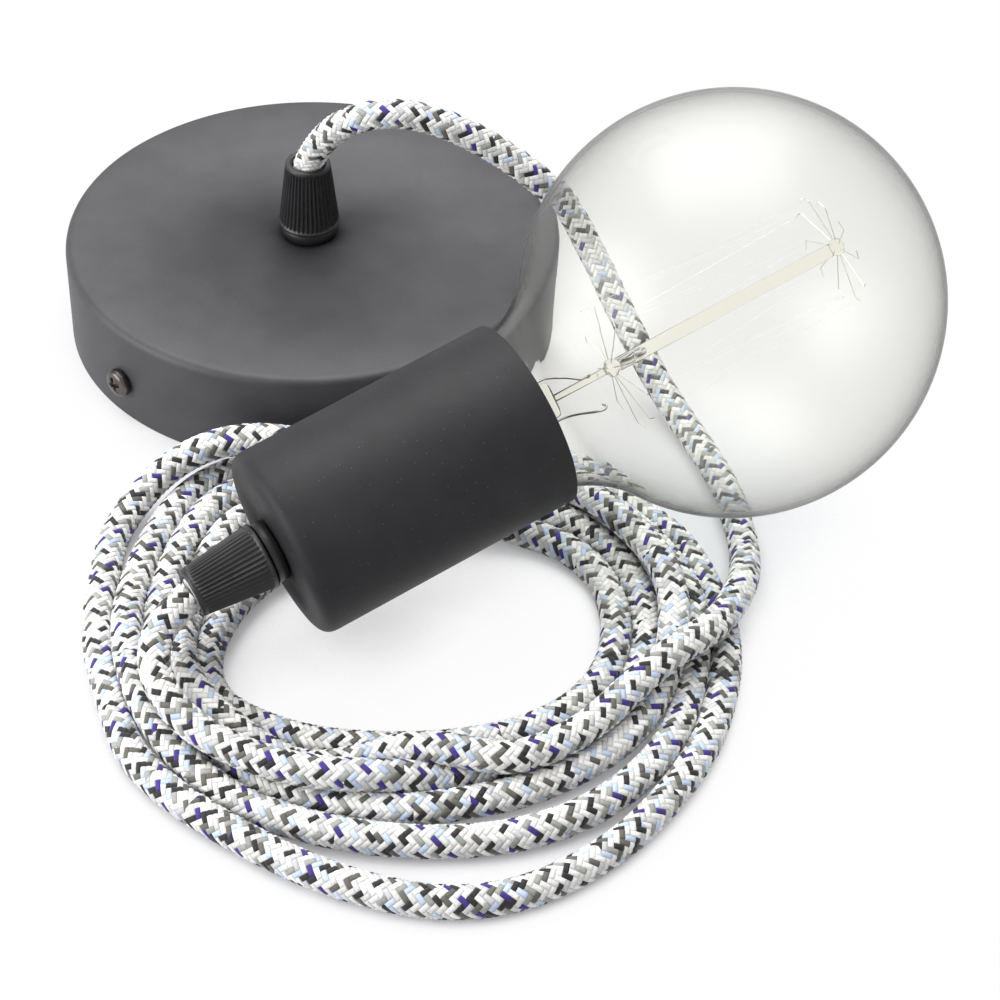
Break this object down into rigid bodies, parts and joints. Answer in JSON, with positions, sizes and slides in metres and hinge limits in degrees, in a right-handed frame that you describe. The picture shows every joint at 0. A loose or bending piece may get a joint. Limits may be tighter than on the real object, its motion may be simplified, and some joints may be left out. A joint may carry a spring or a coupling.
{
  "type": "pendant cord set",
  "caption": "Pendant cord set: a flat black ceiling rose, a long braided textile cord in loose turns, and a black cylindrical lamp holder with a large clear globe bulb",
  "frame": {"origin": "middle of the ceiling face of the mounting bracket, on the plane of the rim of the rose, where the set lies on the table", "axes": "+Z out of the ceiling face, through the cord grip of the rose; +X and +Y along the table, with the lamp holder and the bulb towards +X and -Y of the rose"},
  "size_m": [0.2062, 0.2574, 0.102],
  "materials": {
    "painted_steel": "fine-grained powder coat, satin black",
    "black_plastic": "moulded, fine lengthwise ribs",
    "blackened_steel": "blackened zinc plate",
    "zinc_steel": "bright zinc plate",
    "brass": "turned and rolled",
    "white_plastic": "moulded thermoplastic",
    "textile": "braided sleeve, two over two, white, grey, olive, pale blue, charcoal and violet",
    "clear_glass": "clear, blown",
    "pale_glass": "pale yellow lead glass",
    "wire": "drawn wire",
    "black_glass": "vitreous black insulator",
    "core_brown": "extruded insulation",
    "core_blue": "extruded insulation",
    "core_green": "extruded insulation, green with a yellow stripe"
  },
  "bodies": {
    "root": {"ceiling_rose_cup": "painted_steel", "mounting_bracket": "zinc_steel", "side_screw_1": "blackened_steel", "side_screw_2": "blackened_steel", "earth_washer": "brass", "earth_screw": "brass", "terminal_block": "white_plastic", "terminal_insert_1": "brass", "terminal_insert_2": "brass", "terminal_screw_1": "brass", "terminal_screw_2": "brass", "terminal_screw_3": "brass", "terminal_screw_4": "brass", "rose_live_core": "core_brown", "rose_neutral_core": "core_blue", "rose_earth_core": "core_green", "rose_grip_cap": "black_plastic", "rose_grip_body": "black_plastic", "rose_grip_washer": "zinc_steel", "rose_grip_nut": "black_plastic", "rose_cord_tail": "textile", "glass_globe": "clear_glass", "bulb_screw_cap": "brass", "cap_insulator": "black_glass", "cap_tip_contact": "zinc_steel", "glass_stem": "pale_glass", "glass_rod": "pale_glass", "lead_wire_1": "wire", "lead_wire_2": "wire", "lower_support_wires": "wire", "upper_support_wires": "wire", "filament": "wire", "holder_cover": "painted_steel", "holder_dome": "white_plastic", "threaded_skirt": "white_plastic", "contact_block": "white_plastic", "centre_contact": "brass", "side_contact": "brass", "contact_screw_1": "brass", "contact_screw_2": "brass", "holder_grip_cap": "black_plastic", "holder_grip_body": "black_plastic", "holder_grip_nut": "black_plastic", "holder_cord_tail": "textile", "holder_live_core": "core_brown", "holder_neutral_core": "core_blue", "cord_to_rose": "textile", "cord_coil": "textile", "cord_to_holder": "textile"}
  },
  "joints": []
}
